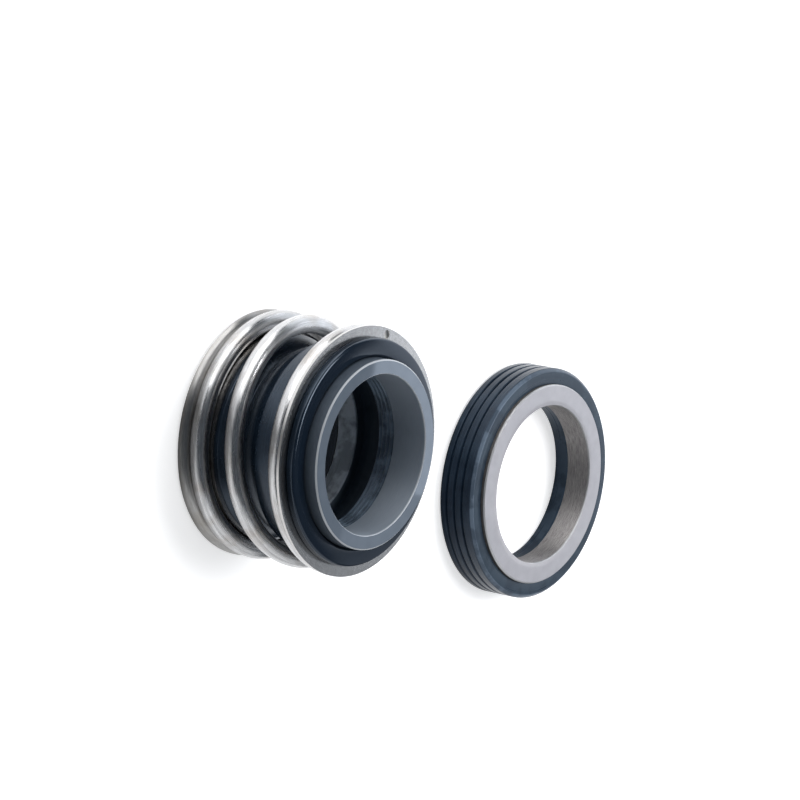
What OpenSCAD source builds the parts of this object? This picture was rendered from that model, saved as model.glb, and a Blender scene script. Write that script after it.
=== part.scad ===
// Rubber bellows shaft seal with one coil spring: the rotating head stands on
// its rear ring, and the stationary seat lies flat on the same surface beside
// it. Lengths are in millimetres and the head's axis is Z.

/* [Shaft and rotating head] */
// Diameter of the shaft that the rubber tail grips
shaft_d = 35; // [34:0.1:36]
// Length of the head when no load is on the spring
free_len = 34; // [33:0.1:35.5]
// Gap all round between the shaft and the rotating seal ring
ring_gap = 0.5; // [0.3:0.1:0.8]

/* [Rotating seal ring] */
// Wall of the ring, from bore to side
ring_wall = 3.2; // [2.8:0.1:3.5]
// Length of the ring along the shaft
ring_len = 9; // [8:0.1:10]
// How far the lapped face stands ahead of the rubber rim
ring_stand = 3; // [2.6:0.1:3.2]
// Chamfer at the outer edge of the lapped face
face_chamfer = 0.3; // [0.1:0.05:0.6]
// Fine chamfer at the ring's other edges
ring_edge = 0.15; // [0.05:0.05:0.3]

/* [Coil spring] */
// Diameter of the wire
wire_d = 4.2; // [3.8:0.1:4.4]
// Play between the spring and the angle rings inside it
spring_play = 0.1; // [0.1:0.05:0.4]
// Angle that the wire runs from tip to tip, four turns and a little
wire_turn = 1450; // [1420:10:1480]
// Angle of the rear end turn before the coils open
rear_turn = 480; // [450:5:500]
// Angle over which the coils open to the full pitch
open_turn = 350; // [280:10:360]
// Angle over which the pitch drops again at the front
close_turn = 30; // [20:5:40]
// Angle of the front end turn
front_turn = 330; // [300:5:330]
// Gap between an end turn's tip and the next coil
coil_gap = 0.1; // [0.1:0.05:0.3]
// Wire thickness left at a tip when its end is ground flat
tip_t = 0.85; // [0.6:0.05:1.5]
// Direction of the rear tip about the axis, in degrees
rear_tip_dir = 166; // [0:1:360]

/* [Angle rings] */
// Sheet thickness of both angle rings
sheet_t = 0.6; // [0.5:0.1:0.9]
// Rubber wall between the shaft and the angle rings
collar_wall = 5.5; // [5.4:0.1:5.9]
// Outer radius of the bend in the sheet
bend_r = 0.7; // [0.3:0.05:0.8]
// Width of the rear flange outside its leg
rear_flange_w = 3.5; // [2.5:0.1:4]
// Width of the front flange outside its leg
front_flange_w = 4.4; // [4.2:0.1:4.8]
// Length of the rear ring's leg, with the flange
rear_leg = 7.2; // [6:0.1:8]
// Length of the front ring's leg, with the flange
front_leg = 6.4; // [5:0.1:7]
// Diameter of the hole in the front flange that shows the spring's tip
tip_hole_d = 2; // [1.6:0.1:2]
// Radial distance from the rubber rim to the middle of that hole
tip_hole_out = 1; // [0.7:0.1:1.2]

/* [Rubber bellows] */
// Height of the rubber rim in front of the front flange
rim_h = 2; // [1.8:0.1:2.4]
// How far the rim reaches out beyond the leg of the front ring
rim_out = 1.9; // [1.6:0.1:2.2]
// Rounding of the rim's front edge
rim_round = 0.6; // [0.3:0.1:1]
// Chamfer of the rim around the seal ring
rim_chamfer = 0.6; // [0.3:0.1:0.9]
// Height of the full tail above the end of the rear leg
tail_over = 0.7; // [0.3:0.1:1]
// Height of the cone from the tail down to the neck
cone_h = 3.4; // [2.8:0.1:4]
// Rubber wall at the neck
neck_wall = 2.1; // [1.8:0.1:2.5]
// Height of the groove at the neck
neck_h = 0.6; // [0.4:0.1:1]
// How far the fold bulges out from the neck
fold_out = 2; // [1.5:0.1:2.3]
// Height of the bulged part of the fold
fold_h = 4.6; // [4:0.1:5]
// Straight height between the bulge and the cup
fold_top = 2; // [1.5:0.1:2.3]
// Rubber wall of the fold
fold_wall = 1.8; // [1.5:0.1:2]
// Step in the cup that the front leg ends on
leg_step = 0.6; // [0.3:0.1:0.7]
// Height of the cup's shoulder behind the seal ring
shoulder_h = 4.1; // [3.7:0.1:4.5]
// Depth of the fine grooves in the shoulder's bore
rib_depth = 0.35; // [0.2:0.05:0.5]
// Pitch of those grooves
rib_pitch = 1.1; // [1:0.1:1.2]
// Length of the grip at the front of the tail bore
grip_front = 4.9; // [4:0.1:5.3]
// Length of the shallow relief in the middle of the tail bore
relief_len = 4.4; // [3:0.1:5]
// Depth of that relief
relief_depth = 0.8; // [0.4:0.1:1]
// Chamfer at the mouth of the tail bore
mouth_chamfer = 0.6; // [0.3:0.1:1]

/* [Stationary seat] */
// Total height of the seat
seat_h = 10.6; // [10:0.1:11]
// Gap all round between the shaft and the seat's ring
seat_gap = 1.7; // [1.2:0.1:2]
// Wall of the seat's ring
seat_wall = 5; // [4:0.1:5.2]
// How far the seat's face stands ahead of the rubber cup
seat_stand = 1; // [0.5:0.1:1.3]
// Chamfer at the outer edge of the seat's face
seat_chamfer = 0.3; // [0.1:0.05:0.5]
// Height of the rubber behind the seat's ring
cup_floor = 4; // [3:0.1:4.5]
// Step of the rubber's bore out from the ring's bore
cup_step = 0.5; // [0.3:0.1:1]
// Width of the cup's flat front
cup_front = 3.1; // [2.6:0.1:3.4]
// Chamfer between the cup's front and its lands
cup_chamfer = 0.7; // [0.4:0.1:1]
// Chamfer at the cup's back edge
cup_back = 0.6; // [0.3:0.1:1]
// Width of each fine groove between the lands
land_gap = 0.7; // [0.4:0.05:0.9]
// Depth of those grooves
land_depth = 0.5; // [0.3:0.05:0.8]
// Free space between the head and the seat on the surface
apart = 45.6; // [30:0.2:60]
// Sideways step of the seat
aside = -1; // [-10:0.1:10]

/* [Hidden] */
$fn = 96;

shaft_r = shaft_d / 2;
wire_r = wire_d / 2;

// seal ring
ring_in = shaft_r + ring_gap;
ring_out = ring_in + ring_wall;
ring_back = free_len - ring_len;

// angle rings: the front flange lies under the rim, and the wire between both
leg_in = shaft_r + collar_wall;
leg_out = leg_in + sheet_t;
rim_top = free_len - ring_stand;
flange_top = rim_top - rim_h;
front_seat = flange_top - sheet_t;
rear_seat = sheet_t;
rim_r = leg_in + sheet_t + rim_out;

// spring: the end turns rise by one wire and a small gap
coil_r = leg_out + spring_play + wire_r;
tip_low = rear_seat - wire_r + tip_t;
tip_high = front_seat + wire_r - tip_t;
end_rise = wire_d + coil_gap;
rear_slope = end_rise / 360;
full_turn = wire_turn - rear_turn - open_turn - close_turn - front_turn;
// the front tip also clears the coil under it, which gives two equations
back_on = 360 - close_turn - front_turn;
rise_left = tip_high - tip_low - rear_slope * (rear_turn + open_turn / 2);
full_slope = (rise_left - end_rise) / (open_turn / 2 + full_turn - back_on);
front_slope = (end_rise - full_slope * (back_on + close_turn / 2)) / (front_turn + close_turn / 2);
wire_sides = 12;
wire_steps = round(wire_turn / 7.5);

// bellows
neck_r = shaft_r + neck_wall;
tail_top = rear_leg + tail_over;
neck_z = tail_top + cone_h;
fold_z = neck_z + neck_h;
fold_r = neck_r + fold_out;
cup_z = fold_z + fold_h + fold_top;
cup_r = leg_in + leg_step;
front_leg_end = flange_top - front_leg;
shoulder_z = ring_back - shoulder_h;
cave_r = fold_r - fold_wall;
relief_z = grip_front + mouth_chamfer;
grip_end = relief_z + relief_len + grip_front;

// seat
seat_in = shaft_r + seat_gap;
seat_out = seat_in + seat_wall;
cup_face = seat_h - seat_stand;
land_r = seat_out + cup_front + cup_chamfer;
land_top = cup_face - cup_chamfer;
land_pitch = land_top / 4;
seat_y = coil_r + wire_r + apart + land_r;

// points of an arc about (r, z), from one angle to another
function arc(r, z, rad, from, to, steps = 6) =
    [for (i = [0:steps]) let (a = from + (to - from) * i / steps) [r + rad * cos(a), z + rad * sin(a)]];

// sheet bent once: the leg stands up from a flange that points outwards
module angle_ring(leg, flange_w) {
    rotate_extrude()
        polygon(concat(
            arc(leg_in + bend_r, bend_r, bend_r, 180, 270),
            [[leg_out + flange_w, 0],
             [leg_out + flange_w, sheet_t],
             [leg_out, sheet_t],
             [leg_out, leg],
             [leg_in, leg]]
        ));
}

module rear_angle_ring() {
    color("dimgray") angle_ring(rear_leg, rear_flange_w);
}

// the same pressing turned over, with the hole that shows the wire's tip
module front_angle_ring() {
    color("silver")
        difference() {
            translate([0, 0, flange_top]) mirror([0, 0, 1]) angle_ring(front_leg, front_flange_w);
            rotate([0, 0, rear_tip_dir + wire_turn])
                translate([rim_r + tip_hole_out, 0, front_seat - 1])
                    cylinder(d = tip_hole_d, h = sheet_t + 2, $fn = 32);
        }
}

// height of the wire's middle after the angle s from the rear tip
s_open = rear_turn + open_turn;
s_close = s_open + full_turn;
s_front = s_close + close_turn;
function ramp(x, from, to, len) = from * x + (to - from) * x * x / (2 * len);
z_rear = tip_low + rear_slope * rear_turn;
z_open = z_rear + ramp(open_turn, rear_slope, full_slope, open_turn);
z_close = z_open + full_slope * full_turn;
z_front = z_close + ramp(close_turn, full_slope, front_slope, close_turn);
function wire_z(s) =
    s < rear_turn ? tip_low + rear_slope * s :
    s < s_open ? z_rear + ramp(s - rear_turn, rear_slope, full_slope, open_turn) :
    s < s_close ? z_open + full_slope * (s - s_open) :
    s < s_front ? z_close + ramp(s - s_close, full_slope, front_slope, close_turn) :
    z_front + front_slope * (s - s_front);

// how far past the wire's middle the flat of a ground end lies, as a sine
function past(h) = max(0, h / wire_r);

// one point of the wire's outline: round, and flat where the end is ground
function wire_point(zc, w) = let (
        rear = past(rear_seat - zc),
        front = past(zc - front_seat),
        upper = w <= 180,
        cut = asin(upper ? rear : front),
        a = upper ? cut + (180 - 2 * cut) * w / 180 : 180 + cut + (180 - 2 * cut) * (w - 180) / 180,
        flat = upper ? cos(asin(front)) : cos(asin(rear)),
        x = wire_r * cos(a) * flat,
        z = zc + wire_r * sin(a)
    ) [coil_r + x, min(front_seat, max(rear_seat, z))];

// triangles of a cut end, all from the point opposite its flat side
function cut_end(first, apex, back) = [for (j = [0:wire_sides - 1])
    let (k = (j + 1) % wire_sides)
        if (j != apex && k != apex) [first + apex, first + (back ? k : j), first + (back ? j : k)]];

module coil_spring() {
    n = wire_sides;
    points = [for (i = [0:wire_steps]) let (s = wire_turn * i / wire_steps, b = rear_tip_dir + s)
        for (j = [0:n - 1]) let (p = wire_point(wire_z(s), 360 * j / n))
            [p[0] * cos(b), p[0] * sin(b), p[1]]];
    sides = [for (i = [0:wire_steps - 1]) for (j = [0:n - 1]) let (k = (j + 1) % n)
        each [[i * n + j, i * n + k, (i + 1) * n + k], [i * n + j, (i + 1) * n + k, (i + 1) * n + j]]];
    rear_end = cut_end(0, n / 4, true);
    front_end = cut_end(wire_steps * n, n * 3 / 4, false);
    color("gainsboro") polyhedron(points, concat(sides, rear_end, front_end), convexity = 8);
}

module seal_ring() {
    color("slategray")
        rotate_extrude()
            polygon([
                [ring_in + ring_edge, ring_back],
                [ring_out - ring_edge, ring_back],
                [ring_out, ring_back + ring_edge],
                [ring_out, free_len - face_chamfer],
                [ring_out - face_chamfer, free_len],
                [ring_in + ring_edge, free_len],
                [ring_in, free_len - ring_edge],
                [ring_in, ring_back + ring_edge]
            ]);
}

// fine groove in the bore of the shoulder, as points going down the bore
function rib(z) = [[ring_in, z], [ring_in + rib_depth, z - rib_pitch * 0.3], [ring_in, z - rib_pitch * 0.6]];

module bellows() {
    tail_round = 0.5;
    cup_round = 0.5;
    color("darkslategray")
        rotate_extrude()
            polygon(concat(
                // tail inside the rear angle ring
                [[shaft_r + mouth_chamfer, 0]],
                arc(leg_in + bend_r, bend_r, bend_r, 270, 180),
                [[leg_in, tail_top - tail_round]],
                arc(leg_in - tail_round, tail_top - tail_round, tail_round, 15, 50, 3),
                // cone, neck and fold
                [[neck_r, neck_z], [neck_r, fold_z]],
                [for (a = [15:15:90]) [neck_r + fold_out * sin(a), fold_z + fold_h * (1 - cos(a))]],
                [[fold_r - 0.2, cup_z]],
                // cup inside the front angle ring, and the rim ahead of it
                arc(cup_r - cup_round, cup_z + cup_round, cup_round, 270, 360, 4),
                [[cup_r, front_leg_end], [leg_in, front_leg_end]],
                arc(leg_in + bend_r, flange_top - bend_r, bend_r, 180, 90),
                [[rim_r, flange_top]],
                arc(rim_r - rim_round, rim_top - rim_round, rim_round, 0, 90, 4),
                [[ring_out + rim_chamfer, rim_top], [ring_out, rim_top - rim_chamfer]],
                // seat of the seal ring and the grooved shoulder behind it
                [[ring_out, ring_back], [ring_in, ring_back]],
                rib(ring_back - 0.4),
                rib(ring_back - 0.4 - rib_pitch),
                rib(ring_back - 0.4 - 2 * rib_pitch),
                // hollow of the fold, then the bore that grips the shaft
                [[ring_in, shoulder_z],
                 [cave_r, shoulder_z - 0.5],
                 [cave_r, grip_end + 0.7],
                 [shaft_r, grip_end],
                 [shaft_r, relief_z + relief_len],
                 [shaft_r + relief_depth, relief_z + relief_len - relief_depth],
                 [shaft_r + relief_depth, relief_z + relief_depth],
                 [shaft_r, relief_z],
                 [shaft_r, mouth_chamfer]]
            ));
}

module seat_ring() {
    color("lightgray")
        translate([aside, seat_y, 0])
            rotate_extrude()
                polygon([
                    [seat_in + ring_edge, cup_floor],
                    [seat_out - ring_edge, cup_floor],
                    [seat_out, cup_floor + ring_edge],
                    [seat_out, seat_h - seat_chamfer],
                    [seat_out - seat_chamfer, seat_h],
                    [seat_in + ring_edge, seat_h],
                    [seat_in, seat_h - ring_edge],
                    [seat_in, cup_floor + ring_edge]
                ]);
}

// groove number i between the lands, as points going up the outside
function land_groove(i) = [
    [land_r, land_pitch * i - land_gap / 2],
    [land_r - land_depth, land_pitch * i - land_gap / 8],
    [land_r - land_depth, land_pitch * i + land_gap / 8],
    [land_r, land_pitch * i + land_gap / 2]];

module seat_cup() {
    color("darkslategray")
        translate([aside, seat_y, 0])
            rotate_extrude()
                polygon(concat(
                    [[seat_in + cup_step, 0], [land_r - cup_back, 0]],
                    [[land_r, cup_back]],
                    land_groove(1),
                    land_groove(2),
                    land_groove(3),
                    [[land_r, land_top],
                     [seat_out + cup_front, cup_face],
                     [seat_out, cup_face],
                     [seat_out, cup_floor],
                     [seat_in + cup_step, cup_floor]]
                ));
}

bellows();
seal_ring();
coil_spring();
front_angle_ring();
rear_angle_ring();
seat_ring();
seat_cup();
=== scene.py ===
# %% [markdown]
# # Shaft seal with a rubber bellows and one coil spring
# The object has two halves. The rotating head is a rubber bellows with a hard seal
# ring in its front, two angle rings and a coil spring around it. The stationary seat
# is a metal ring in a rubber cup. Both stand on their ends on a pale table.
# The imported CAD model comes in first as a fixed frame, and everything is measured
# from it. The finished look has to stay inside it.

# %% Load the frame
import math
from collections import namedtuple
import bpy
from mathutils import Matrix, Vector
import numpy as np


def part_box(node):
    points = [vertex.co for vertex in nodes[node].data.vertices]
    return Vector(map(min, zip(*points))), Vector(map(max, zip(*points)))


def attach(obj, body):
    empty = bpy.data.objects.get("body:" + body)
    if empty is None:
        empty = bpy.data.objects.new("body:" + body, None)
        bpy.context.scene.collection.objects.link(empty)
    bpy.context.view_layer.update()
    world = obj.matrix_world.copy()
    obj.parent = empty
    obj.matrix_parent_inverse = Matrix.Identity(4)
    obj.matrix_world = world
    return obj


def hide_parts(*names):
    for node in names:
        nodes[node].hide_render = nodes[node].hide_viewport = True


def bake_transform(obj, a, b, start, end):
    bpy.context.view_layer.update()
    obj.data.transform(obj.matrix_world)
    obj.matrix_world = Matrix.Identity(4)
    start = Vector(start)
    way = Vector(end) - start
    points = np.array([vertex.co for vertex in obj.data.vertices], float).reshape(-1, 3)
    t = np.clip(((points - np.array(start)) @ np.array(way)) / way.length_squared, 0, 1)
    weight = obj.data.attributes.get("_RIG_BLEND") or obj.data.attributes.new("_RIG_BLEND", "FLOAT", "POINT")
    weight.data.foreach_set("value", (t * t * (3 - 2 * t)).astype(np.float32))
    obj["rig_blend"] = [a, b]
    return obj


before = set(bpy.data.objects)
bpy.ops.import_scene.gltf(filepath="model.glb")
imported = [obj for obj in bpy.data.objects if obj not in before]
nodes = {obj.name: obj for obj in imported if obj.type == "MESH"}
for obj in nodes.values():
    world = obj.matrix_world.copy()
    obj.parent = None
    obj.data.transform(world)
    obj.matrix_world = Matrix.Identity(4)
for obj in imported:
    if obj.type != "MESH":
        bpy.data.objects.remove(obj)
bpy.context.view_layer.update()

# %% [markdown]
# ## Tools of the workshop
# Nearly every piece is round, so one helper turns an outline into a solid, as a lathe
# or a ring mould does. A modifier could spin the outline too, but a mesh made here
# has even rings, and its corners can be rounded by a real radius. Sharp corners look
# false, because every real edge catches a thin line of light.
# The first helper takes corners as (radius, height, rounding) in millimetres.

# %% Round the corners of an outline
MM = 0.001


def rounded(corners, steps=5):
    """Points of a closed outline whose corners are rounded by their own radius."""
    points = []
    for i, (r, z, fillet) in enumerate(corners):
        here = Vector((r, z))
        to_last = Vector(corners[i - 1][:2]) - here
        to_next = Vector(corners[(i + 1) % len(corners)][:2]) - here
        half = to_last.angle(to_next) / 2
        reach = min(fillet / math.tan(half), 0.48 * to_last.length, 0.48 * to_next.length)
        if fillet == 0 or half > math.radians(89):
            points.append(here)
            continue
        a, b = to_last.normalized() * reach, to_next.normalized() * reach
        radius = reach * math.tan(half)
        centre = here + (a + b).normalized() * (radius / math.sin(half))
        start = here + a - centre
        turn = start.angle_signed(here + b - centre)
        for k in range(steps + 1):
            t = -turn * k / steps
            c, s = math.cos(t), math.sin(t)
            points.append(centre + Vector((start.x * c - start.y * s, start.x * s + start.y * c)))
    return points


# %% [markdown]
# An outline becomes a solid when it goes once around its axis. The steps are so fine
# that a ring of 56 mm shows no corners. The shading is smooth, and breaks only where
# two faces meet at a clear angle, as the light does on a real edge.

# %% Turn an outline on its axis
def turned(name, outline, centre=(0.0, 0.0), segments=240, sharp=40):
    """A closed solid of revolution about a vertical axis through centre."""
    n = len(outline)
    points, faces = [], []
    for i in range(segments):
        a = 2 * math.pi * i / segments
        for p in outline:
            points.append((centre[0] + p.x * MM * math.cos(a), centre[1] + p.x * MM * math.sin(a), p.y * MM))
        j = (i + 1) % segments
        faces += [(i * n + k, j * n + k, j * n + (k + 1) % n, i * n + (k + 1) % n) for k in range(n)]
    mesh = bpy.data.meshes.new(name)
    mesh.from_pydata(points, [], faces)
    mesh.validate()
    smooth_by_angle(mesh, sharp)
    return set_down(name, mesh)


def smooth_by_angle(mesh, degrees):
    """Smooth shading that breaks at corners sharper than the angle."""
    mesh.shade_smooth()
    mesh.set_sharp_from_angle(angle=math.radians(degrees))


def set_down(name, data):
    """Put a mesh, a lamp or a camera into the scene."""
    made = bpy.data.objects.new(name, data)
    bpy.context.scene.collection.objects.link(made)
    print(name, "made" + (f", {len(data.polygons)} faces" if made.type == "MESH" else ""))
    return made


# %% [markdown]
# ## Materials
# A material is a small graph of nodes. These helpers keep the graphs short: one makes
# a node and wires its inputs, one makes the shader, and the rest mix and scale.
# The patterns use the object's own place in millimetres, so they sit on the piece and
# stay there from every side. The same helpers also wire the world behind the scene.

# %% Short ways to wire nodes
TO_DEGREES = 57.3


class Graph:
    """The nodes of one material or world, with short names for the kinds that are needed."""

    def __init__(self, name, family="materials"):
        self.owner = getattr(bpy.data, family).new(name)
        self.owner.use_nodes = True
        self.tree = self.owner.node_tree
        self.tree.nodes.clear()

    def node(self, kind, inputs=None, **settings):
        made = self.tree.nodes.new("ShaderNode" + kind)
        for key, value in settings.items():
            setattr(made, key, value)
        for key, value in (inputs or {}).items():
            if isinstance(value, bpy.types.NodeSocket):
                self.tree.links.new(value, made.inputs[key])
            else:
                made.inputs[key].default_value = value
        return made

    def math(self, operation, a, b=0.0):
        return self.node("Math", {0: a, 1: b}, operation=operation).outputs[0]

    def plus(self, a, b):
        return self.math("ADD", a, b)

    def times(self, a, b):
        return self.math("MULTIPLY", a, b)

    def vector(self, x, y, z):
        return self.node("CombineXYZ", {0: x, 1: y, 2: z}).outputs[0]

    def place(self, centre=(0, 0, 0)):
        """The point on the piece in millimetres, measured from a centre given in metres."""
        at = self.node("TexCoord").outputs["Object"]
        moved = self.node("VectorMath", {0: at, 1: centre}, operation="SUBTRACT").outputs[0]
        return self.node("VectorMath", {0: moved, "Scale": 1 / MM}, operation="SCALE").outputs[0]

    def around(self, point):
        """Radius, angle in degrees and height of a point, for patterns left by turning."""
        x, y, z = self.node("SeparateXYZ", {0: point}).outputs
        radius = self.node("VectorMath", {0: self.vector(x, y, 0.0)}, operation="LENGTH").outputs["Value"]
        angle = self.times(self.math("ARCTAN2", y, x), TO_DEGREES)
        return radius, angle, z

    def across(self):
        """The direction on the surface that runs across circles about the head's axis."""
        x, y, _ = self.node("SeparateXYZ", {0: self.place()}).outputs
        along = self.vector(self.times(y, -1.0), x, 0.0)
        facing = self.node("NewGeometry").outputs["Normal"]
        return self.node("VectorMath", {0: facing, 1: along}, operation="CROSS_PRODUCT").outputs[0]

    def noise(self, point, scale, detail=3.0, rough=0.5):
        inputs = {"Vector": point, "Scale": scale, "Detail": detail, "Roughness": rough}
        return self.node("TexNoise", inputs).outputs["Fac"]

    def remap(self, value, low, high, to_low, to_high):
        return self.node("MapRange", {0: value, 1: low, 2: high, 3: to_low, 4: to_high}).outputs[0]

    def colours(self, value, stops):
        ramp = self.node("ValToRGB", {0: value})
        elements = ramp.color_ramp.elements
        for i, (at, tone) in enumerate(stops):
            stop = elements[i] if i < 2 else elements.new(at)
            stop.position = at
            stop.color = (*tone, 1.0)
        return ramp.outputs[0]

    def mix(self, share, a, b):
        made = self.node("Mix", data_type="RGBA")
        for socket, value in zip((made.inputs[0], made.inputs[6], made.inputs[7]), (share, a, b)):
            if isinstance(value, bpy.types.NodeSocket):
                self.tree.links.new(value, socket)
            else:
                socket.default_value = value if socket is made.inputs[0] else (*value, 1.0)
        return made.outputs[2]

    def bump(self, height, depth_mm, strength=1.0, normal=None):
        inputs = {"Height": height, "Distance": depth_mm * MM, "Strength": strength}
        if normal is not None:
            inputs["Normal"] = normal
        return self.node("Bump", inputs).outputs[0]

    def surface(self, **inputs):
        """The shader, with a socket for each name, and the finished material."""
        shader = self.node("BsdfPrincipled", {k.replace("_", " "): v for k, v in inputs.items()})
        self.node("OutputMaterial", {"Surface": shader.outputs[0]})
        return self.owner


def colour(hex_code):
    """A colour as a picture shows it, changed to the linear values that shaders use."""
    parts = [int(hex_code[i:i + 2], 16) / 255 for i in (0, 2, 4)]
    return tuple(p / 12.92 if p <= 0.04045 else ((p + 0.055) / 1.055) ** 2.4 for p in parts)


# %% [markdown]
# ## Rubber of the bellows and the cup
# Both rubber parts come out of polished moulds. The rubber is a blue-black nitrile
# with a soft sheen, and its reflections are a little blue too. Its colour is nearly
# flat, but the sheen isn't: flow marks make some areas duller, and a thin bloom makes
# some paler. Fine pores keep the highlights from looking like glass.
# One graph serves both parts. Each part names the zones where it differs, because a
# mould is polished in one place and rough in another, and because some zones carry
# painted light in their tone. A zone is a span of radius and of height in millimetres,
# with a tone and a roughness of its own.

# %% Rubber
Zone = namedtuple("Zone", "inner outer low high tone rough")


def rubber(name, dark, bloom, sheen, gloss, zones, centre=(0, 0, 0)):
    """A rubber finish: sheen is how rough it is, and gloss is how much it mirrors."""
    g = Graph(name)
    at = g.place(centre)
    radius, angle, height = g.around(at)
    cloud = g.noise(at, 0.16, 4.0, 0.6)
    flow = g.noise(g.vector(g.times(angle, 0.02), radius, height), 1.1, 3.0)
    pores = g.noise(at, 9.0, 2.0)
    bloomed = g.times(g.remap(cloud, 0.35, 0.75, 0.0, 1.0), 0.6)
    patchy = g.remap(cloud, 0.44, 0.54, 0.5, 1.0)
    paint = g.mix(bloomed, dark, bloom)
    roughness = g.remap(flow, 0.3, 0.7, sheen - 0.05, sheen + 0.07)
    edge = 0.1
    for zone in zones:
        inside = g.times(g.math("GREATER_THAN", radius, zone.inner), g.math("LESS_THAN", radius, zone.outer))
        inside = g.times(inside, g.remap(height, zone.low - edge, zone.low + edge, 0.0, 1.0))
        inside = g.times(inside, g.remap(height, zone.high - edge, zone.high + edge, 1.0, 0.0))
        paint = g.mix(inside, paint, g.mix(patchy, dark, zone.tone))
        zone_rough = g.remap(flow, 0.3, 0.7, 0.85 * zone.rough, 1.15 * zone.rough)
        roughness = g.plus(roughness, g.times(inside, g.math("SUBTRACT", zone_rough, roughness)))
    normal = g.bump(pores, 0.006, 0.3, g.bump(flow, 0.02, 0.25))
    return g.surface(Base_Color=paint, Roughness=roughness, Normal=normal, Specular_IOR_Level=gloss,
                     Specular_Tint=(*colour("d2e4fa"), 1))


# %% [markdown]
# ## The bellows
# This is the one moulded rubber body. Its tail grips the shaft, a thin fold above it
# lets the front move, and a cup with a rim holds the hard ring. The CAD solid has the
# same form with plain corners. It is built again here, because rubber edges are
# soft, and because the fold has to shorten when the spring is pressed.
# The sizes are the same as the solid's, in millimetres.

# %% Sizes of the bellows
shaft_r = 17.5
leg_r, tail_top = 23.0, 7.9
bend = 0.7
neck_r, neck_low, neck_high = 19.6, 11.3, 11.9
fold_out, fold_high = 2.0, 4.6
cup_foot_r, cup_r, cup_low, cup_step = 21.4, 23.6, 18.5, 22.6
flange_top = 29.0
rim_r, rim_top = 25.5, 31.0
ring_r, ring_side, ring_back = 18.0, 21.2, 25.0
lead_in = 0.6
hollow_r, hollow_low, hollow_top = 19.8, 14.8, 20.9
relief_deep, relief_low, relief_high = 0.8, 5.5, 9.9
print("bellows", 2 * rim_r, "mm across and", rim_top, "mm long, for a shaft of", 2 * shaft_r)

# %% [markdown]
# The outline runs up the outside, over the rim, and down the bore. Where the rubber
# fills the bent corner of an angle ring, it follows the bend. The fold is a quarter of
# an ellipse that swells out from the neck. The bore has three fine grooves in the
# shoulder under the hard ring, then a wide hollow, and a relief in the tail that
# leaves two bands to grip the shaft.

# %% Outline of the bellows
def quarter(r, z, radius, start, end, steps=6):
    """Corners along an arc, with no rounding of their own."""
    turn = [math.radians(start + (end - start) * i / steps) for i in range(steps + 1)]
    return [(r + radius * math.cos(a), z + radius * math.sin(a), 0) for a in turn]


def bore_grooves(top, count=3, pitch=1.1, depth=0.35):
    """Fine rounded grooves going down the bore of the shoulder."""
    found = []
    for i in range(count):
        z = top - i * pitch
        found += [(ring_r, z, 0.3), (ring_r + depth, z - 0.3 * pitch, 0.15), (ring_r, z - 0.6 * pitch, 0.3)]
    return found


tail = [(shaft_r + lead_in, 0, 0.1), *quarter(leg_r + bend, bend, bend, 270, 180), (leg_r, tail_top, 0.5)]
fold = [(neck_r, neck_low, 0.35), (neck_r, neck_high, 0.1)]
fold += [(neck_r + fold_out * math.sin(a), neck_high + fold_high * (1 - math.cos(a)), 0)
         for a in (math.radians(d) for d in range(12, 91, 6))]
cup = [(cup_foot_r, cup_low, 0.3), (cup_r, cup_low, 0.5), (cup_r, cup_step, 0.05), (leg_r, cup_step, 0)]
rim = [*quarter(leg_r + bend, flange_top - bend, bend, 180, 90), (rim_r, flange_top, 0.3),
       (rim_r, rim_top, 0.65), (ring_side + lead_in, rim_top, 0.25), (ring_side, rim_top - lead_in, 0)]
shoulder = [(ring_side, ring_back, 0), (ring_r + 0.45, ring_back, 0.1), (ring_r, ring_back - 0.4, 0.2),
            *bore_grooves(ring_back - 0.9)]
hollow = [(ring_r, hollow_top, 0.3), (hollow_r, hollow_top - 0.5, 0.4),
          (hollow_r, hollow_low + 0.7, 0.4), (shaft_r, hollow_low, 0.3)]
relief = [(shaft_r, relief_high, 0.3), (shaft_r + relief_deep, relief_high - relief_deep, 0.4),
          (shaft_r + relief_deep, relief_low + relief_deep, 0.4), (shaft_r, relief_low, 0.3)]
outline = rounded(tail + fold + cup + rim + shoulder + hollow + relief + [(shaft_r, lead_in, 0.1)])
print("bellows outline", len(outline), "points")

# %% [markdown]
# Four zones of the bellows differ. The top of the rim is moulded against a polished
# insert, so it mirrors most. The bands that grip the shaft are painted pale: painted
# light in the bore, which the table closes from below. The wide hollow is rough and
# takes little light, and the grooved shoulder above it is painted paler: a painted
# highlight on its ribs.

# %% Finish of the bellows
grip_r = shaft_r + 0.45
bellows_rubber = rubber("bellows_rubber", colour("0d1620"), colour("202c39"), sheen=0.24, gloss=0.5, zones=(
    Zone(0.0, 30.0, rim_top - 0.4, rim_top + 3.0, colour("101924"), 0.12),
    # Painted light: the grip bands in the bore are painted pale.
    Zone(0.0, grip_r, 0.0, hollow_low + 0.1, colour("a4abb2"), 0.3),
    Zone(grip_r, hollow_r + 0.5, hollow_low + 0.1, hollow_top, colour("1c252e"), 0.7),
    # Painted highlight: the grooved shoulder is painted paler.
    Zone(grip_r, ring_r + 0.9, hollow_top, ring_back - 0.1, colour("62707e"), 0.28)))
print("bellows finish", len(bellows_rubber.node_tree.nodes), "nodes")

# %% [markdown]
# When the head is pressed, the tail stays and the cup comes down. The rubber between
# them can't be rigid, so it is blended: it stands still just under the tail's top,
# goes the whole way where the front angle ring begins, and shortens evenly between.

# %% Turn the bellows and let its fold shorten
fold_still, fold_moved = 7.6, 22.2
bellows = turned("bellows_body", outline)
bellows.data.materials.append(bellows_rubber)
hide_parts("bellows")
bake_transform(bellows, "tail_and_seat", "ring_end", start=(0, 0, fold_still * MM), end=(0, 0, fold_moved * MM))

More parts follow.
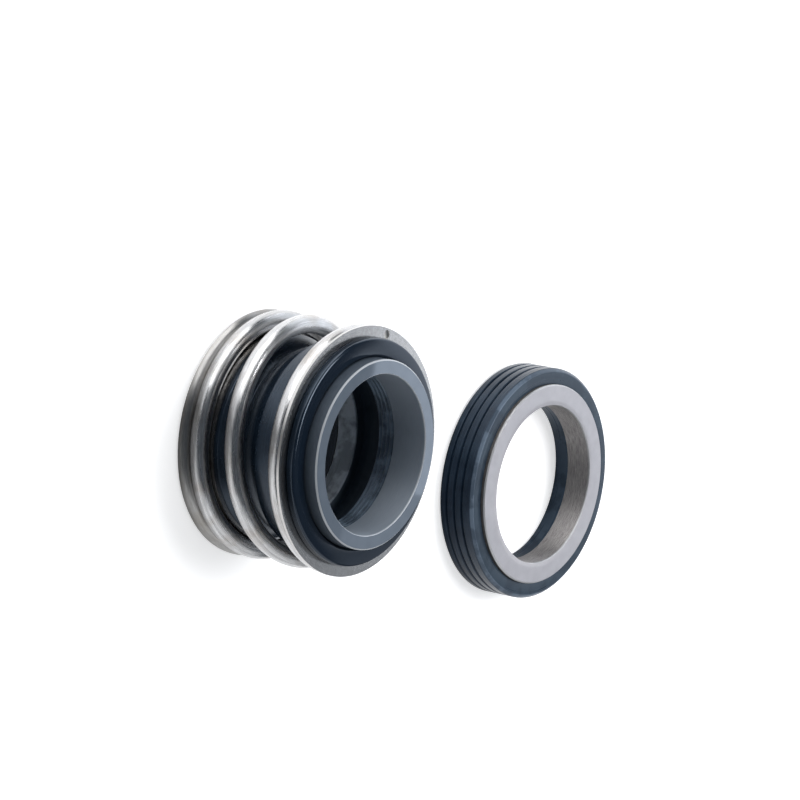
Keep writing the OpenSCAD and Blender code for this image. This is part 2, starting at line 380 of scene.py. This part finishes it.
# %% [markdown]
# ## The coil spring
# One stainless wire, drawn through a die and wound right-hand in four turns. The end
# turns lie close, and both ends are ground flat, so that the spring stands square
# between its angle rings. A curve with a round bevel would be quicker, but it can't
# show the ground flats, so the wire is swept here, ring by ring.
# The rise follows the winding: close end turns, and full pitch in between, with an
# even change of slope where one becomes the other. Lengths along the winding are in
# degrees, and all other sizes in millimetres.

# %% The wire's rise along its length
wire_r, coil_r = 2.1, 25.8
rear_seat, front_seat = 0.6, 28.4
tip_left = 0.85
spring_play = 0.1
rear_tip_dir = 166.0
rear_turn, opening, closing, front_turn, winding = 480.0, 350.0, 30.0, 330.0, 1450.0
full = winding - rear_turn - opening - closing - front_turn
end_rise = 2 * wire_r + spring_play
tip_low = rear_seat - wire_r + tip_left
tip_high = front_seat + wire_r - tip_left
rear_slope = end_rise / 360
back_on = 360 - closing - front_turn
rise_left = tip_high - tip_low - rear_slope * (rear_turn + opening / 2)
full_slope = (rise_left - end_rise) / (opening / 2 + full - back_on)
front_slope = (end_rise - full_slope * (back_on + closing / 2)) / (front_turn + closing / 2)


def wire_z(s):
    """Height of the wire's middle at the angle s from its rear tip."""
    z, slope = tip_low, rear_slope
    for length, next_slope in ((rear_turn, rear_slope), (opening, full_slope), (full, full_slope),
                               (closing, front_slope), (front_turn, front_slope)):
        x = min(s, length)
        z += slope * x + (next_slope - slope) * x * x / (2 * length)
        s -= x
        slope = next_slope
        if s <= 0:
            break
    return z


print("wire pitch", round(full_slope * 360, 2), "mm, tips at", round(wire_z(0), 2), round(wire_z(winding), 2))

# %% [markdown]
# Each ring of the sweep is the wire's section. Away from the tips it is a circle. Near
# a tip, the grinding wheel has cut the circle off at the height of the angle ring. The
# points of the lost part lie in the flat, and the others spread along the arc that is
# left. A point also keeps the spot that it had on the straight wire, for the drawn
# lines. A fan of triangles closes each tip.

# %% Sweep the wire
rings, sides = 580, 32


def section(zc, w):
    """A point on the wire's outline: round, and flat where its end is ground."""
    upper = w <= math.pi
    gone_rear = max(0.0, (rear_seat - zc) / wire_r)
    gone_front = max(0.0, (zc - front_seat) / wire_r)
    cut = math.asin(gone_rear if upper else gone_front)
    base = w if upper else w - math.pi
    a = cut + (math.pi - 2 * cut) * base / math.pi + (0 if upper else math.pi)
    flat = math.cos(math.asin(gone_front if upper else gone_rear))
    x = wire_r * math.cos(a) * flat
    z = zc + wire_r * math.sin(a)
    return x, min(front_seat, max(rear_seat, z))


def wire_mesh():
    """The swept wire, its spots on the straight wire, and the height of its middle at each point."""
    points, faces, straight, middle = [], [], [], []
    for i in range(rings + 1):
        s = winding * i / rings
        b = math.radians(rear_tip_dir + s)
        zc = wire_z(s)
        for j in range(sides):
            x, z = section(zc, 2 * math.pi * j / sides)
            points.append(((coil_r + x) * math.cos(b) * MM, (coil_r + x) * math.sin(b) * MM, z * MM))
            straight.append((math.radians(s) * coil_r, x, z - zc))
            middle.append(zc)
    for a in range(0, rings * sides, sides):
        b = a + sides
        faces += [(b + j, b + (j + 1) % sides, a + (j + 1) % sides, a + j) for j in range(sides)]
    for first, apex, order in ((0, sides // 4, 1), (rings * sides, 3 * sides // 4, -1)):
        for j in range(sides):
            k = (j + 1) % sides
            if apex not in (j, k):
                faces.append(tuple(first + v for v in (apex, j, k)[::order]))
    mesh = bpy.data.meshes.new("spring_wire")
    mesh.from_pydata(points, [], faces)
    smooth_by_angle(mesh, 32)
    return mesh, straight, middle


wire, straight, middle = wire_mesh()
spring = set_down("spring_wire", wire)

# %% [markdown]
# When the head is pressed, the coils come closer and the wire stays round. A plain
# blend by height would squash the wire itself. So every ring of points gets one share
# of the motion, by the height of the wire's middle.

# %% Motion of the spring
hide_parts("coil_spring")
still, whole = wire_z(rear_turn), wire_z(winding - 360)
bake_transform(spring, "tail_and_seat", "ring_end", start=(0, 0, still * MM), end=(0, 0, whole * MM))
share = [min(1.0, max(0.0, (z - still) / (whole - still))) for z in middle]
wire.attributes["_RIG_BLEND"].data.foreach_set("value", share)
print("spring moves between", round(still, 2), "and", round(whole, 2), "mm")

# %% [markdown]
# A drawn wire has fine lines along its length. The die leaves them before the wire is
# wound, so the pattern is laid out on the straight wire and stretched along it.
# The highlights are stretched across the lines, as on any brushed metal. Brown stain
# comes and goes. The rear end turn is rougher and painted darker, a painted shade on
# the lowest turn under the others. The front tip, which the hole in the angle ring
# shows, is rougher and painted near white: a painted glint in the hole.

# %% Finish of the wire
def drawn_wire():
    g = Graph("spring_wire")
    at = g.node("Attribute", attribute_name="straight_wire").outputs["Vector"]
    lengthwise = g.node("VectorMath", {0: at, 1: (0.05, 1.0, 1.0)}, operation="MULTIPLY").outputs[0]
    fine = g.noise(lengthwise, 5.0, 4.0, 0.65)
    broad = g.noise(lengthwise, 1.2, 2.0)
    stain = g.noise(at, 0.12, 3.0, 0.6)
    along = g.node("SeparateXYZ", {0: at}).outputs[0]
    # Painted shade: the rear end turn is painted darker, fading out between these lengths.
    shaded_to, unshaded_from = 124.0, 189.0
    shaded_rear_turn = g.remap(along, shaded_to, unshaded_from, 0.55, 0.0)
    wire_length = math.radians(winding) * coil_r
    # Painted glint: the last few millimetres of the front tip are painted near white.
    tip = g.remap(along, wire_length - 6.0, wire_length - 3.0, 0.0, 1.0)
    steel = g.colours(fine, [(0.25, colour("979797")), (0.6, colour("c3c3c4")), (0.8, colour("dededf"))])
    steel = g.mix(g.remap(stain, 0.5, 0.72, 0.0, 0.5), steel, colour("84786a"))
    # Painted shade colour of the rear end turn.
    steel = g.mix(shaded_rear_turn, steel, colour("7d7a75"))
    # Painted glint colour of the front tip.
    steel = g.mix(tip, steel, colour("f4f4f4"))
    roughness = g.plus(g.remap(broad, 0.3, 0.7, 0.22, 0.34), g.times(shaded_rear_turn, 0.15))
    roughness = g.plus(roughness, g.times(tip, 0.3))
    return g.surface(Base_Color=steel, Metallic=1.0, Roughness=roughness, Normal=g.bump(fine, 0.025, 0.5),
                     Anisotropic=0.7, Tangent=g.across())


spots = wire.attributes.new("straight_wire", "FLOAT_VECTOR", "POINT")
spots.data.foreach_set("vector", [v for p in straight for v in p])
wire.materials.append(drawn_wire())
print("straight wire", round(straight[-1][0]), "mm long")

# %% [markdown]
# ## The angle rings
# Two rings are pressed from stainless sheet, an L in section. One stands under the
# spring's rear end, the other between its front end and the rubber rim. The CAD
# shapes are right, so only their finish is made here: a satin, faintly mottled sheet
# with circular marks from the press tool.

# %% Pressed sheet
def pressed_sheet():
    g = Graph("angle_sheet")
    at = g.place()
    radius, angle, height = g.around(at)
    circles = g.noise(g.vector(g.times(angle, 0.03), radius, height), 6.0, 3.0, 0.6)
    mottle = g.noise(at, 1.3, 4.0, 0.65)
    metal = g.colours(mottle, [(0.3, colour("adacab")), (0.7, colour("bbbab9"))])
    roughness = g.remap(circles, 0.3, 0.7, 0.15, 0.23)
    normal = g.bump(mottle, 0.02, 0.4, g.bump(circles, 0.02, 0.4))
    return g.surface(Base_Color=metal, Metallic=1.0, Roughness=roughness, Normal=normal)


def dress(node, material):
    """Give a CAD piece its finish, and smooth its round walls."""
    mesh = nodes[node].data
    mesh.materials.clear()
    mesh.materials.append(material)
    smooth_by_angle(mesh, 32)
    print(node, "dressed,", len(mesh.polygons), "faces")


sheet = pressed_sheet()
dress("front_angle_ring", sheet)
dress("rear_angle_ring", sheet)

# %% [markdown]
# ## The hard rings
# Both hard rings are turned or ground on the side and the bore, and lapped flat on
# the face. Turning leaves fine circles that catch the light, and lapping leaves none.
# A second material on the face would do, but the height and the radius pick out face,
# bore and side just as well, so one graph covers a whole ring. The last 0.4 mm under
# the face are painted a little paler: a painted highlight along the edge. The circles
# stretch the highlights of a bore. Across them is simply up and down on any upright
# wall, so the head's axis serves for the seat's bore as well.

# %% Lapped ring
def lapped_ring(name, side, bore, face, bore_r, face_z, centre=(0, 0, 0), line_depth=0.02,
                face_rough=0.03, side_metal=0.2, face_metal=0.3):
    """Finish of a hard ring; side, bore and face are each a darker and a paler colour."""
    g = Graph(name)
    at = g.place(centre)
    radius, angle, height = g.around(at)
    lines = g.noise(g.vector(g.times(angle, 0.05), radius, g.times(height, 4.0)), 2.4, 4.0, 0.7)
    grain = g.noise(at, 7.0, 3.0, 0.6)
    is_face = g.math("GREATER_THAN", height, face_z - 0.02)
    edge_highlight = g.math("GREATER_THAN", height, face_z - 0.4)
    is_bore = g.math("LESS_THAN", radius, bore_r + 0.2)
    not_face = g.math("SUBTRACT", 1.0, is_face)
    turned_paint = g.mix(is_bore, g.colours(lines, [(0.3, side[0]), (0.7, side[1])]),
                         g.colours(lines, [(0.3, bore[0]), (0.7, bore[1])]))
    # Painted highlight: the last 0.4 mm under the face are painted paler.
    turned_paint = g.mix(g.times(edge_highlight, 0.5), turned_paint, colour("d4d8dc"))
    lapped_paint = g.colours(g.noise(at, 0.35, 3.0), [(0.3, face[0]), (0.7, face[1])])
    turned_rough = g.plus(g.remap(lines, 0.3, 0.7, 0.34, 0.5), g.times(is_bore, 0.12))
    lapped_rough = g.remap(grain, 0.3, 0.7, 0.85 * face_rough, 1.15 * face_rough)
    roughness = g.plus(g.times(is_face, lapped_rough), g.times(not_face, turned_rough))
    grain_left = g.times(grain, g.math("SUBTRACT", 1.0, g.times(is_face, 0.97)))
    normal = g.bump(g.times(lines, not_face), line_depth, 0.5, g.bump(grain_left, 0.004, 0.3))
    paint = g.mix(is_face, turned_paint, lapped_paint)
    return g.surface(Base_Color=paint, Roughness=roughness, Normal=normal,
                     Metallic=g.remap(is_face, 0.0, 1.0, side_metal, face_metal),
                     Anisotropic=g.times(is_bore, 0.85), Tangent=g.across())


# %% [markdown]
# ## The rotating seal ring
# A hard blue-grey ring. Its lapped face is so fine that it mirrors what stands low
# behind it, and its side is darker than its bore.

# %% Finish of the seal ring
face_height = 34.0
dress("seal_ring", lapped_ring("lapped_ring", side=(colour("3c454f"), colour("4d5661")),
                               bore=(colour("7b848f"), colour("89929d")),
                               face=(colour("66707c"), colour("6b7581")), bore_r=ring_r, face_z=face_height))

# %% [markdown]
# ## The stationary seat
# The seat's ring is pale metal. Its face is lapped to an even satin that mirrors
# nothing sharply. Its bore and side keep the coarser, warm grey lines of the cutting
# tool, which stand out much more than on the rotating ring.

# %% Finish of the seat ring
seat_low, seat_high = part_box("seat_ring")
seat_centre = ((seat_low.x + seat_high.x) / 2, (seat_low.y + seat_high.y) / 2, 0)
dress("seat_ring", lapped_ring("seat_metal", side=(colour("6d6866"), colour("a39d98")),
                               bore=(colour("575454"), colour("d6d2d1")),
                               face=(colour("a3a2a7"), colour("abaaaf")), bore_r=20.0, face_z=10.6,
                               centre=seat_centre, line_depth=0.07, face_rough=0.5,
                               side_metal=0.85, face_metal=0.55))

# %% [markdown]
# ## The seat's cup
# The rubber cup around the seat ring has four lands on the outside, with fine grooves
# between them. The lands are pressed into the housing and keep the seat from turning.
# It is turned from its outline as the bellows is. Its corner to the front, its flat
# front and the bore under the ring are painted paler than the lands: painted light
# where they catch and mirror the lamps.

# %% Turn the seat's cup
land_r, land_top, land_count = 28.0, 8.9, 4
groove_w, groove_deep = 0.7, 0.5
front_r, front_z = 27.3, 9.6
cup_bore, side_r, floor_z = 19.7, 24.2, 4.0
foot = 0.6
lands = []
for i in range(1, land_count):
    z = land_top / land_count * i
    lands += [(land_r, z - groove_w / 2, 0.25), (land_r - groove_deep, z - groove_w / 8, 0.08),
              (land_r - groove_deep, z + groove_w / 8, 0.08), (land_r, z + groove_w / 2, 0.25)]
cup_outline = rounded([(cup_bore, 0, 0.2), (land_r - foot, 0, 0.3), (land_r, foot, 0.4), *lands,
                       (land_r, land_top, 0.35), (front_r, front_z, 0.35), (side_r, front_z, 0.15),
                       (side_r, floor_z, 0), (cup_bore, floor_z, 0.1)])
seat_cup = turned("seat_cup_body", cup_outline, seat_centre[:2])

# %% Finish of the seat's cup
corner_r = front_r - 0.2
seat_cup.data.materials.append(rubber(
    "cup_rubber", colour("0e1a27"), colour("263544"), sheen=0.27, gloss=0.35, centre=seat_centre, zones=(
        # Painted light: the corner, the flat front and the bore are painted paler than the lands.
        Zone(corner_r, land_r + 0.2, land_top + 0.1, front_z + 0.2, colour("566270"), 0.35),
        Zone(20.0, corner_r, land_top + 0.1, front_z + 0.2, colour("2c3945"), 0.3),
        Zone(0.0, cup_bore + 0.2, -0.5, floor_z - 0.1, colour("3c4a59"), 0.3))))
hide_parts("seat_cup")
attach(seat_cup, "tail_and_seat")
print("seat at", [round(v, 4) for v in seat_centre])

# %% [markdown]
# ## Camera
# In the photograph the axis points to the right, and the view is down onto the faces
# at about 36 degrees. The seal stands on its end here, so the camera looks down at
# that angle and is turned on its side. It stands a metre off with a long lens, which
# keeps both halves nearly the same size.
# Its aim is a little off the face's centre, to put the head where the photograph has
# it. A lens shift would do the same, but the views from other sides would keep it.

# %% Place the camera
view_height, view_roll = math.radians(36.07), math.radians(-100.75)
view_distance = 1.0
picture_side, focal_length = 800.0, 4562.5
film_width = 36.0
face_centre = Vector((0, 0, face_height * MM))
spot = face_centre + view_distance * Vector((0, -math.cos(view_height), math.sin(view_height)))


def look(target, roll):
    """Camera axes that look at target from spot, turned about the view by roll."""
    ahead = (target - spot).normalized()
    right = ahead.cross(Vector((0, 0, 1))).normalized()
    down = ahead.cross(right)
    c, s = math.cos(roll), math.sin(roll)
    return c * right + s * down, -s * right + c * down, ahead


aim_left, aim_up = 0.012857, 0.002736
level_right, level_down, _ = look(face_centre, 0.0)
right, down, ahead = look(face_centre - aim_left * level_right - aim_up * level_down, view_roll)
camera = set_down("camera", bpy.data.cameras.new("camera"))
camera.matrix_world = Matrix.Translation(spot) @ Matrix((right, -down, -ahead)).transposed().to_4x4()
camera.data.sensor_width = film_width
camera.data.lens = focal_length * film_width / picture_side
camera.data.clip_start = 0.05
bpy.context.scene.camera = camera
print("camera at", [round(v, 3) for v in spot], "lens", round(camera.data.lens, 1))

# %% [markdown]
# ## Table
# The table is a plain pale sheet. It glows a little where the camera sees it, so the
# picture's background is white without more light on the object, and the shadow
# still falls on it. It glows in reflections too, so that the metal shows it.
# A round wire mirrors much of the table, and on a white one it would be white all
# over. A photographer lays dark cards beside such a piece. Here the table's tone in
# reflections does the same: it is pale towards -x, dark along the head's middle, and
# fairly pale again towards +x. It stays even for the camera and for the soft light
# that it gives back.

# %% Table
def pale_table():
    g = Graph("pale_table")
    path = g.node("LightPath").outputs
    at = g.place()
    paper = g.colours(g.noise(at, 0.02, 2.0), [(0.3, (0.78, 0.78, 0.79)), (0.7, (0.82, 0.82, 0.82))])
    reach = 60.0
    over = g.remap(g.node("SeparateXYZ", {0: at}).outputs[0], -reach, reach, 0.0, 1.0)
    cards = g.colours(over, [(0.3, (1, 1, 1)), (0.47, (0.18,) * 3), (0.62, (0.2,) * 3), (0.78, (0.8,) * 3)])
    toned = g.mix(path["Is Glossy Ray"], (1, 1, 1), cards)
    sheet_colour = g.node("VectorMath", {0: paper, 1: toned}, operation="MULTIPLY").outputs[0]
    body = g.node("BsdfDiffuse", {"Color": sheet_colour})
    seen = g.times(path["Is Camera Ray"], 0.55)
    mirrored = g.times(g.times(path["Is Glossy Ray"], 0.8), cards)
    glow = g.node("Emission", {"Color": (1, 1, 1, 1), "Strength": g.plus(seen, mirrored)})
    both = g.node("AddShader", {0: body.outputs[0], 1: glow.outputs[0]})
    g.node("OutputMaterial", {"Surface": both.outputs[0]})
    return g.owner


table_half, clear_of_parts = 6.0, 0.02 * MM
corners = [(-table_half, -table_half, 0), (table_half, -table_half, 0),
           (table_half, table_half, 0), (-table_half, table_half, 0)]
table_sheet = bpy.data.meshes.new("table")
table_sheet.from_pydata(corners, [], [(0, 1, 2, 3)])
table_sheet.materials.append(pale_table())
table = set_down("table", table_sheet)
table.location.z = -clear_of_parts

# %% [markdown]
# ## Lamps
# Shiny parts show their lamps, so the lamps are large soft panels, placed where the
# photograph's highlights ask for them. In the picture, up is the scene's -x and right
# is +y and +z. A smaller or harder lamp would give points of light, where a real
# studio gives long soft bands. Each panel's brightness is given as radiance, so that
# its size can be changed without changing how bright it looks in the metal.

# %% Panels
def panel(name, place, aim, wide, high, radiance, tint=(1, 1, 1)):
    """A soft panel that faces a point, as bright as the radiance says."""
    data = bpy.data.lights.new(name, "AREA")
    data.shape, data.size, data.size_y = "RECTANGLE", wide, high
    data.energy, data.color = radiance * math.pi * wide * high, tint
    made = set_down(name, data)
    made.location = place
    made.rotation_euler = (Vector(aim) - Vector(place)).to_track_quat("-Z", "Y").to_euler()
    made.visible_camera = False
    print(name, "gives", round(data.energy, 2), "W")


sky_blue = (0.9, 0.94, 1.0)
wall_y, wall_z, wall_high = 0.40, 0.1715, 0.323
# Low, beyond the picture's upper edge: the long highlights on the coils.
panel("low_key", (-0.40, -0.20, 0.14), (0, 0.03, 0.08), 0.56, 0.27, 3.8)
# Behind both halves: the seal ring's face mirrors it, and the dimmer end shades the face off.
panel("far_wall", (-0.49, wall_y, wall_z), (-0.49, 0, wall_z), 1.0, wall_high, 1.6, sky_blue)
panel("far_wall_edge", (0.08, wall_y, wall_z), (0.08, 0, wall_z), 0.14, wall_high, 0.5, sky_blue)
# Beyond the picture's lower edge: the second, weaker bands on the coils.
panel("foot_wall", (0.8, 0.08, 0.28), (0, 0, 0.28), 1.5, 0.5, 0.75)
panel("foot_sky", (0.45, 0.17, 0.38), (0, 0, 0.02), 0.75, 0.3, 0.75)
# Overhead: the main light.
panel("ceiling", (-0.32, 0.32, 1.1), (0, 0.05, 0), 0.6, 0.6, 9.5)

# %% [markdown]
# ## World
# The room around the table is white to the camera, and a dim pale blue to everything
# else, so that it fills the shadows and adds little light of its own.

# %% World
studio = Graph("studio", "worlds")
room = studio.node("Background", {"Color": (0.75, 0.86, 1.0, 1), "Strength": 0.13})
white = studio.node("Background", {"Color": (1, 1, 1, 1)})
by_camera = studio.node("LightPath").outputs["Is Camera Ray"]
backdrop = studio.node("MixShader", {0: by_camera, 1: room.outputs[0], 2: white.outputs[0]})
studio.node("OutputWorld", {"Surface": backdrop.outputs[0]})
bpy.context.scene.world = studio.owner
bpy.context.scene.view_settings.view_transform = "Standard"
print("room light", room.inputs["Strength"].default_value)
